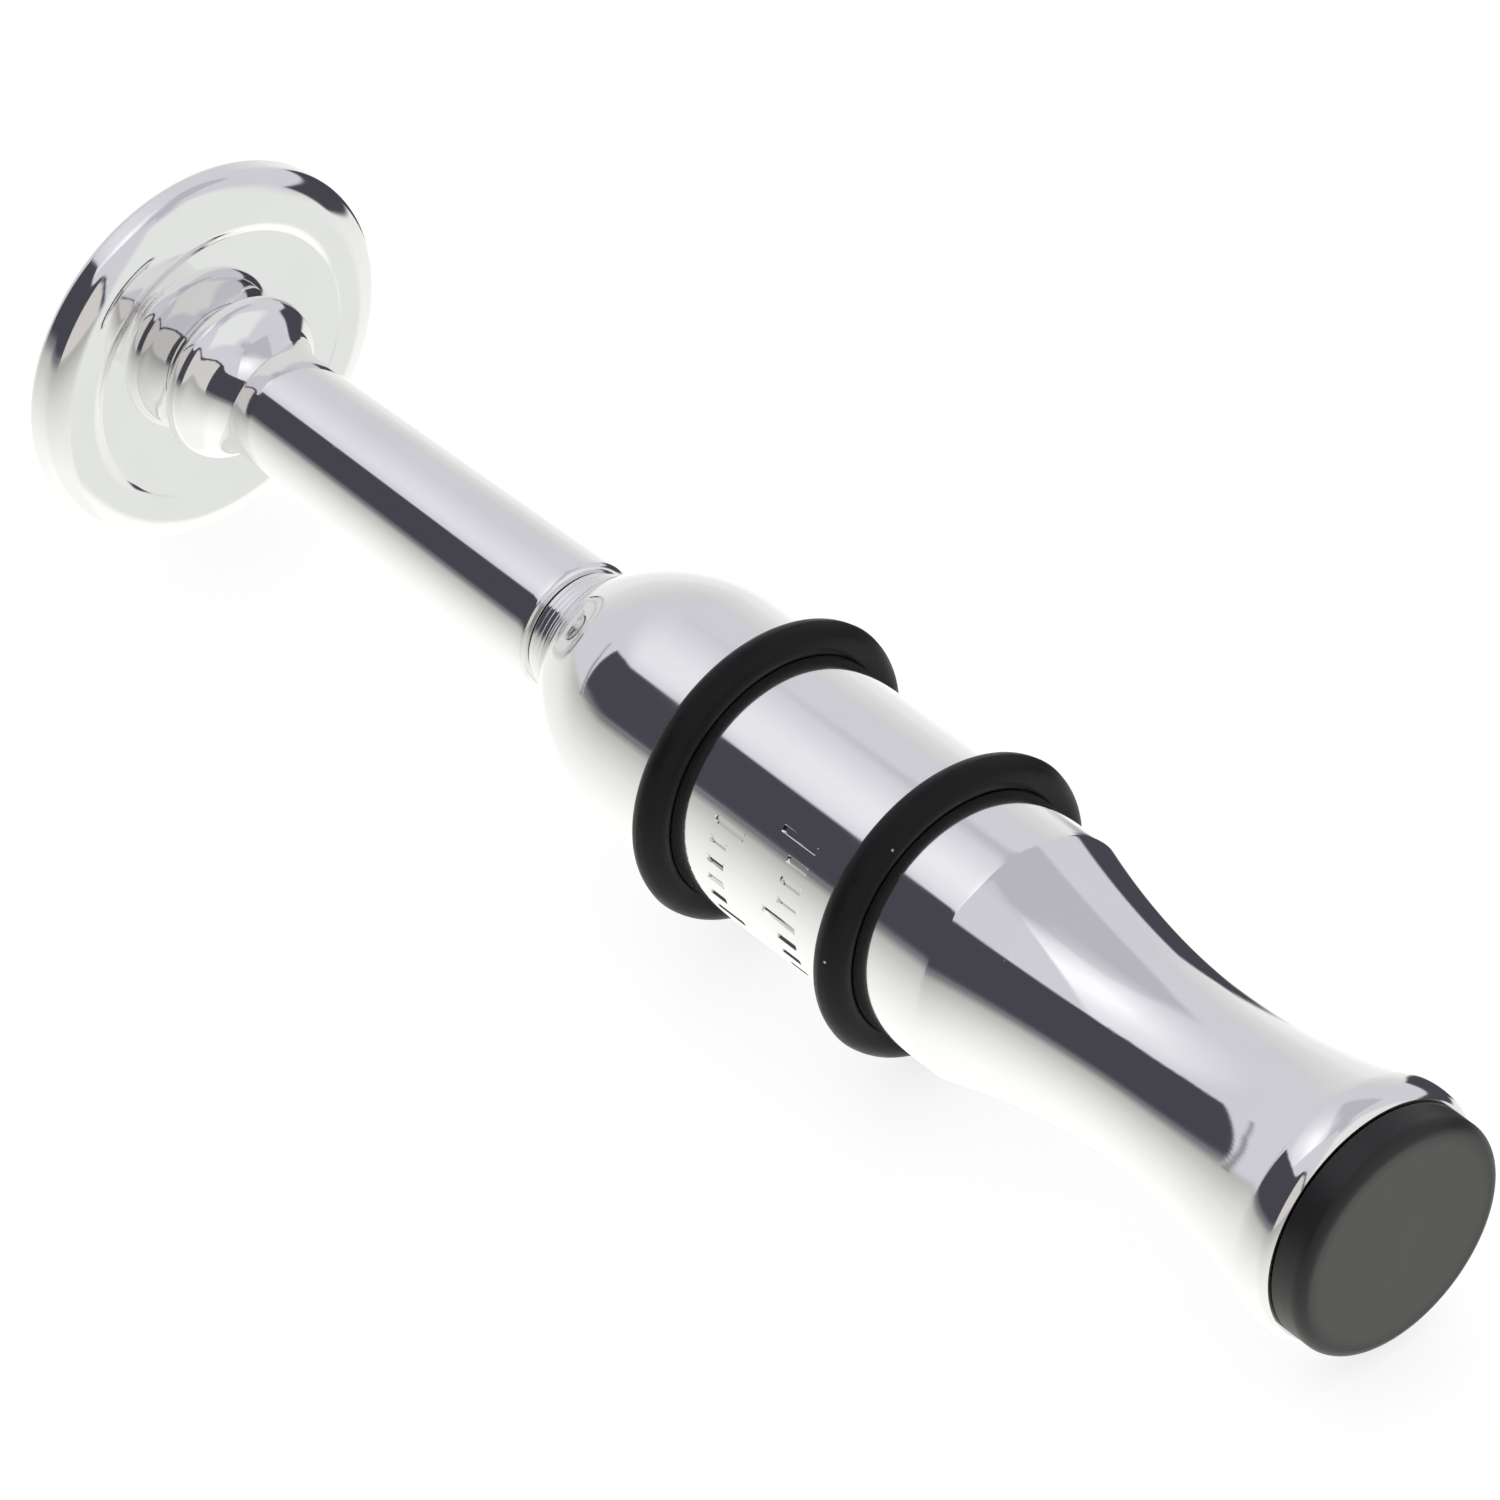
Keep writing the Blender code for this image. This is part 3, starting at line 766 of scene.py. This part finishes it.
def mouthpiece():
    """Waisted, flared mouthpiece. Its tenon enters the barrel, its rim takes the dust plug."""
    start, end = stations("mouthpiece")
    tenon_r, groove_r, groove_at, groove_half = 7.15, 6.1, 81.0, 0.7
    rounding, corner_r, socket_cone, joint_gap = 0.12, 0.6, 1.8, 0.05
    flank_start = MOUTH_CORNER_AT + 0.35
    flare_pull = (FLARE_AT + 0.55, FLARE_R + 0.18)
    rim_pull, rim_end = (end - 0.35, RIM_R), (end - 0.02, RIM_R - 0.5)
    lip = stations("barrel")[1] + joint_gap
    corners = [(start, MOUTH_BORE_R), (start, tenon_r)]
    corners += groove(groove_at, groove_half, tenon_r, groove_r)
    corners += [(lip, tenon_r), (lip, RING_SEAT_R)]
    corners += ring_seat(REAR_RING_AT)[3:] + [(MOUTH_CORNER_AT - corner_r, BARREL_R)]
    outline = rounded(corners, rounding, closed=False)
    before = (MOUTH_CORNER_AT - 1, BARREL_R)
    after = (MOUTH_CORNER_AT + 1, waist_radius(MOUTH_CORNER_AT + 1))
    outline += corner(before, (MOUTH_CORNER_AT, BARREL_R), after, corner_r)
    outline += sweep(waist_radius, flank_start, FLARE_AT, 70)
    outline += bend((FLARE_AT, FLARE_R), flare_pull, (RIM_AT, RIM_R), 6)
    outline += bend((RIM_AT, RIM_R), rim_pull, rim_end, 8)
    outline += [(end, SOCKET_R), (SOCKET_START, SOCKET_R), (SOCKET_START - socket_cone, MOUTH_BORE_R)]
    return turned("mouthpiece", outline, METAL)


def dust_plug():
    """Closed plug with a flat turned face and a rounded edge, pushed into the mouthpiece."""
    start, end = stations("dust_plug")
    plug_r = outer_radius("dust_plug")
    edge_r, shank_r, groove_r, groove_at, groove_half = 0.9, 5.95, 4.7, 119.5, 0.8
    face_ring_r, rounding, rim_gap = 4.0, 0.15, 0.04
    back = stations("mouthpiece")[1] + rim_gap
    corners = [(start, 0.0), (start, shank_r)] + groove(groove_at, groove_half, shank_r, groove_r)
    corners += [(back, shank_r), (back, plug_r), (end - edge_r, plug_r)]
    outline = rounded(corners, rounding, closed=False)[:-1]
    outline += arc(end - edge_r, plug_r - edge_r, edge_r, 90, 0)
    return turned("dust_plug", outline + [(end, face_ring_r), (end, 0.0)], PLUG)


# ---------------------------------------------------------------- inner sleeves

CLIP_BORE_R = 3.7
BUSH_BORE_R = 3.75


def stop_collar():
    """Running collar on the slide tube, with its seal's groove round the middle."""
    start, end = stations("stop_collar")
    groove_r, groove_half = 6.15, 0.75
    bore = [(end, CLIP_BORE_R), (start, CLIP_BORE_R)]
    return grooved_sleeve("stop_collar", HOLDER, [(start + end) / 2], groove_r, groove_half, bore)


def reed_holder():
    """Sleeve with two seal grooves. Its bore is wide where it takes the tone board."""
    start, end = stations("reed_holder")
    groove_r, groove_half, grooves = 3.85, 0.65, (81.0, 88.0)
    board_r, air_r, step_at = 3.4, 2.6, 85.2
    bore = [(end, board_r), (step_at, board_r), (step_at, air_r), (start, air_r)]
    return grooved_sleeve("reed_holder", HOLDER, grooves, groove_r, groove_half, bore)


# ---------------------------------------------------------------- assembly

GRIP_FLASH = 0.03
SEAL_RINGS = (
    "slide_o_ring",
    "gland_seal",
    "joint_seal",
    "holder_seal_inner",
    "holder_seal_outer",
    "tuning_band",
    "plug_seal",
)

bell_disc()
stem_tube()
plain_sleeve("slide_tube", METAL, AIRWAY_R)
plain_sleeve("inner_clip", STEEL, CLIP_BORE_R)
plain_sleeve("outer_clip", STEEL, CLIP_BORE_R)
stop_collar()
gland_nut()
plain_sleeve("gland_bush", BRASS, BUSH_BORE_R)
barrel()
seal_ring("grip_ring_front", GRIP, GRIP_FLASH)
seal_ring("grip_ring_rear", GRIP, GRIP_FLASH)
mouthpiece()
reed_holder()
for ring in SEAL_RINGS:
    seal_ring(ring, SEAL)
dust_plug()
for node, material in (("tone_board", BOARD), ("reed", FILM), ("reed_wedge", CORK)):
    frame["nodes"][node].data.materials.clear()
    frame["nodes"][node].data.materials.append(material)


# ---------------------------------------------------------------- studio


def linear(shade):
    """Light level of a shade from 0, black, to 1, white."""
    return ((shade + 0.055) / 1.055) ** 2.4


def ease(low, high, value):
    """0 below low, 1 above high, and smooth between them."""
    share = min(1.0, max(0.0, (value - low) / (high - low)))
    return share * share * (3 - 2 * share)


def within(value, low, high, soft):
    """1 between low and high, 0 outside them, and smooth over soft at either side of each."""
    return ease(low - soft, low + soft, value) * (1 - ease(high - soft, high + soft, value))


def ramp(stops, value):
    """Value on a line through (position, value) stops."""
    for (a, low), (b, high) in zip(stops, stops[1:]):
        if value <= b:
            return low + (high - low) * min(1.0, max(0.0, (value - a) / (b - a)))
    return stops[-1][1]


def toward(shade, other, share):
    """A shade moved towards another by a share from 0 to 1."""
    return tuple(a + (b - a) * share for a, b in zip(shade, other))


# The light tent, by direction from the object: degrees round from +X towards +Y, and degrees up.
# Colours are shades from 0, black, to 1, white.
CLOTH = (0.805, 0.798, 0.825)
ROOF = (0.712, 0.706, 0.735)
LAMP = (0.99, 0.99, 1.0)
DARK = (0.268, 0.266, 0.296)
ASIDE = (0.88, 0.89, 0.877)
OLIVE = (0.80, 0.785, 0.77)
CORD_GREY = (0.5, 0.5, 0.52)
TABLE_TINT = (1.0, 1.003, 0.985)
FRONT_TINT = (1.0, 0.998, 0.995)

# Light on the table and on the front sheet, by degrees up
TABLE_LIGHT = [
    (-90, 1.0), (-55, 0.99), (-45, 0.965), (-35, 0.93), (-25, 0.885), (-15, 0.825), (-5, 0.735), (0, 0.67),
]
FRONT_LIGHT = [(-90, 1.0), (-32, 1.0), (-20, 0.95), (-10, 0.91), (0, 0.895), (5, 0.86), (25, 0.80)]

# The lamp's strength, by degrees round and by degrees up
LAMP_ROUND = [(148, 0.0), (170, 0.33), (190, 0.65), (208, 1.0), (237, 1.0), (240, 0.0)]
LAMP_UP = [(37, 0.0), (45, 0.4), (50, 0.52), (60, 1.0), (66, 1.0), (75, 0.4), (81, 0.0)]

# Edges as (degrees up, degrees round): the roof's, the door's side and the cord beside it
ROOF_EDGE = [(44, 146), (50, 151), (55, 156), (60, 163), (65, 171), (70, 185), (75, 198), (80, 215)]
DOOR_SIDE = [(0, 215), (15, 209.5), (32, 203)]
CORD = [(0, 213.5), (8, 210.5), (20, 204), (27, 197)]

# Edges as (degrees round, degrees up): the door's top, its olive part's top, and the gap in the cloth
DOOR_TOP = [
    (203, 32), (212, 37), (225, 41), (240, 43.5), (270, 45),
    (285, 50), (300, 48), (315, 42), (330, 28), (352, 0),
]
DOOR_BASE = [(276, -10), (286, 4), (294, 45), (300, 45), (315, 39), (330, 25), (345, 3)]
GAP_TOP = [(60, 7), (118, 7), (123, -6), (127, -24), (130, -34)]
GAP_BASE = [(60, -17), (104, -17), (112, -26), (128, -32)]

# Soft borders, from where one starts to where it ends
ROOF_FOOT, ROOF_CROWN, ROOF_LAMP_SIDE = (44, 49), (72, 82), (225, 260)
TABLE_HORIZON, TABLE_FAR, TABLE_OPEN_SIDE = (-3, 4), (-40, 0), (190, 215)
ASIDE_LEFT, ASIDE_RIGHT, ASIDE_FOOT, ASIDE_HEAD = (45, 62), (340, 352), (-62, -50), (62, 74)
FRONT_HEAD = (20, 27)
CORD_SIDE = (0.4, 1.3)
DOOR_FOOT, DOOR_END = (-3.5, 9), (338, 350)

# Bands as (first, last, softness)
TABLE_SHADOW = (262, 345, 10)
TABLE_AT_DOOR = (214, 350, 4)
FRONT_BAND = (118, 168, 10)
GAP_BAND = (60, 127, 2)

# Where the roof starts, and how soft single edges are
ROOF_START, ROOF_SOFT = 97, 5
DOOR_TOP_SOFT, DOOR_SIDE_SOFT, DOOR_BASE_SOFT = 0.7, 0.5, 2
GAP_SOFT = 2

# How strongly a layer counts, and the heights between which the cord shows
ROOF_LAMP_LOSS = 0.8
TABLE_SHADOW_LOSS = 0.03
TABLE_OPEN_GAIN = 0.10
CORD_STRENGTH = 0.8
CORD_SPAN = (-2, 28)


def roof_share(azimuth, elevation):
    """How much of the greyer roof shows: a slope beside the lamp, and the crown overhead."""
    slope = ease(*ROOF_FOOT, elevation) * within(azimuth, ROOF_START, ramp(ROOF_EDGE, elevation), ROOF_SOFT)
    crown = ease(*ROOF_CROWN, elevation) * (1 - ease(*ROOF_LAMP_SIDE, azimuth) * ROOF_LAMP_LOSS)
    return max(slope, crown)


def table_shade(azimuth, elevation):
    """The white table: darker far off and in the door's shadow, lighter on the open side."""
    level = ramp(TABLE_LIGHT, elevation)
    level -= TABLE_SHADOW_LOSS * within(azimuth, *TABLE_SHADOW)
    level += TABLE_OPEN_GAIN * ease(*TABLE_FAR, elevation) * (1 - ease(*TABLE_OPEN_SIDE, azimuth))
    level = min(1.0, level)
    return tuple(level * tint for tint in TABLE_TINT)


def aside_share(azimuth, elevation):
    """How much of the pale sheets on both sides of +X shows."""
    side = max(1 - ease(*ASIDE_LEFT, azimuth), ease(*ASIDE_RIGHT, azimuth))
    return side * (1 - ease(*ASIDE_HEAD, elevation)) * ease(*ASIDE_FOOT, elevation)


def cord_share(azimuth, elevation):
    """How much of the thin grey cord beside the door shows."""
    if not CORD_SPAN[0] < elevation < CORD_SPAN[1]:
        return 0.0
    return CORD_STRENGTH * (1 - ease(*CORD_SIDE, abs(ramp(CORD, elevation) - azimuth)))


def door_share(azimuth, elevation):
    """How much of the open door shows."""
    top = ramp(DOOR_TOP, azimuth)
    height = (1 - ease(top - DOOR_TOP_SOFT, top + DOOR_TOP_SOFT, elevation)) * ease(*DOOR_FOOT, elevation)
    past_side = azimuth - ramp(DOOR_SIDE, elevation)
    return height * ease(-DOOR_SIDE_SOFT, DOOR_SIDE_SOFT, past_side) * (1 - ease(*DOOR_END, azimuth))


def door_shade(azimuth, elevation):
    """The door: olive in its lower part, dark above."""
    base = ramp(DOOR_BASE, azimuth)
    return toward(OLIVE, DARK, ease(base - DOOR_BASE_SOFT, base + DOOR_BASE_SOFT, elevation))


def tent_shade(azimuth, elevation):
    """Shade of the light tent in one direction. Each layer covers the ones before it."""
    shade = toward(CLOTH, ROOF, roof_share(azimuth, elevation))
    shade = toward(shade, LAMP, ramp(LAMP_ROUND, azimuth) * ramp(LAMP_UP, elevation))
    if elevation < TABLE_HORIZON[1]:
        above = ease(*TABLE_HORIZON, elevation) * (1 - within(azimuth, *TABLE_AT_DOOR))
        shade = toward(table_shade(azimuth, elevation), shade, above)
    shade = toward(shade, ASIDE, aside_share(azimuth, elevation))
    front = tuple(ramp(FRONT_LIGHT, elevation) * tint for tint in FRONT_TINT)
    shade = toward(shade, front, within(azimuth, *FRONT_BAND) * (1 - ease(*FRONT_HEAD, elevation)))
    shade = toward(shade, CORD_GREY, cord_share(azimuth, elevation))
    shade = toward(shade, door_shade(azimuth, elevation), door_share(azimuth, elevation))
    in_gap = within(elevation, ramp(GAP_BASE, azimuth), ramp(GAP_TOP, azimuth), GAP_SOFT)
    return toward(shade, DARK, within(azimuth, *GAP_BAND) * in_gap)


# The metal sends back this share of the light, so the tent is brighter by as much
METAL_SHARE = 0.87
DOME_R = 3.0
DOME_COLUMNS = 360
DOME_ROWS = 180
FLOOR_TILT = math.radians(2.34)
FLOOR_HALF = 2.0
FLOOR_GAP = 0.05 * MM
RIM_TOUCH_AT = 1.5
WORLD_LIGHT = 1.06
WHITE = (1.0, 1.0, 1.0, 1.0)


def light_tent():
    """Dome that only the shine on the object sees. Its light makes the metal show the tent's shades."""
    verts, shades = [], []
    for row in range(DOME_ROWS + 1):
        up = math.radians(90 - 180 * row / DOME_ROWS)
        for column in range(DOME_COLUMNS):
            around = math.tau * column / DOME_COLUMNS
            verts.append((
                DOME_R * math.cos(up) * math.cos(around),
                DOME_R * math.cos(up) * math.sin(around),
                DOME_R * math.sin(up),
            ))
            for value in tent_shade(math.degrees(around), math.degrees(up)):
                shades.append(linear(value) / METAL_SHARE)
            shades.append(1.0)
    faces = []
    for row in range(DOME_ROWS):
        for column in range(DOME_COLUMNS):
            a, b = row * DOME_COLUMNS, (row + 1) * DOME_COLUMNS
            after = (column + 1) % DOME_COLUMNS
            faces.append((a + column, b + column, b + after, a + after))
    mesh = bpy.data.meshes.new("light_tent")
    mesh.from_pydata(verts, [], faces)
    layer = mesh.color_attributes.new(name="light", type="FLOAT_COLOR", domain="POINT")
    layer.data.foreach_set("color", shades)
    paint = Paint("light_tent", (0.0, 0.0, 0.0), 1.0, Specular_IOR_Level=0.0, Emission_Strength=1.0)
    node = paint.tree.nodes.new("ShaderNodeAttribute")
    node.attribute_name = "light"
    paint.feed(paint.shader.inputs["Emission Color"], node.outputs["Color"])
    paint.material.cycles.emission_sampling = "NONE"
    mesh.materials.append(paint.material)
    dome = bpy.data.objects.new("light_tent", mesh)
    bpy.context.scene.collection.objects.link(dome)
    dome.visible_camera = False
    dome.visible_diffuse = False
    dome.visible_shadow = False
    dome.visible_transmission = False


def floor_material():
    """White paper that glows a little, so that the object's shadow on it stays pale."""
    paint = Paint("floor_paper", (0.3, 0.304, 0.3), 0.55, Emission_Strength=0.74)
    paint.shader.inputs["Emission Color"].default_value = WHITE
    paint.roughness(paint.fit(paint.noise(paint.object, 60.0, 3.0), 0.3, 0.7, 0.5, 0.6))
    return paint.material


def studio_floor():
    """Pale floor that the bell's rim and the barrel's ring lie on. The shine sees the tent instead."""
    mesh = bpy.data.meshes.new("floor")
    corners = [(x * FLOOR_HALF, y * FLOOR_HALF, 0) for x, y in ((-1, -1), (1, -1), (1, 1), (-1, 1))]
    mesh.from_pydata(corners, [], [(0, 1, 2, 3)])
    mesh.materials.append(floor_material())
    floor = bpy.data.objects.new("floor", mesh)
    touch = place(RIM_TOUCH_AT, outer_radius("bell_disc"))
    floor.location = (touch.x, 0, touch.z - FLOOR_GAP)
    floor.rotation_euler = (0, -FLOOR_TILT, 0)
    floor.visible_glossy = False
    bpy.context.scene.collection.objects.link(floor)


light_tent()
studio_floor()

world = bpy.data.worlds.new("studio")
world.use_nodes = True
world.node_tree.nodes["Background"].inputs["Color"].default_value = WHITE
world.node_tree.nodes["Background"].inputs["Strength"].default_value = WORLD_LIGHT
bpy.context.scene.world = world


# ---------------------------------------------------------------- camera


def back_vector(azimuth, elevation):
    """Direction from the object to the camera, in degrees round from -Y towards +X and degrees up."""
    a, e = math.radians(azimuth), math.radians(elevation)
    return Vector((math.sin(a) * math.cos(e), -math.cos(a) * math.cos(e), math.sin(e)))


def camera():
    """Camera that looks near the middle of the call."""
    lens = bpy.data.cameras.new("camera")
    lens.angle = math.radians(VIEW_ANGLE)
    lens.clip_start, lens.clip_end = 0.01, 20.0
    item = bpy.data.objects.new("camera", lens)
    bpy.context.scene.collection.objects.link(item)
    back = back_vector(VIEW_AZIMUTH, VIEW_ELEVATION)
    aim = Vector((0, 0, AXIS_Z)) + AIM_OFFSET
    item.location = aim + back * VIEW_DISTANCE
    item.rotation_mode = "QUATERNION"
    item.rotation_quaternion = (-back).to_track_quat("-Z", "Y")
    bpy.context.scene.camera = item


camera()
bpy.context.scene.view_settings.view_transform = "Standard"
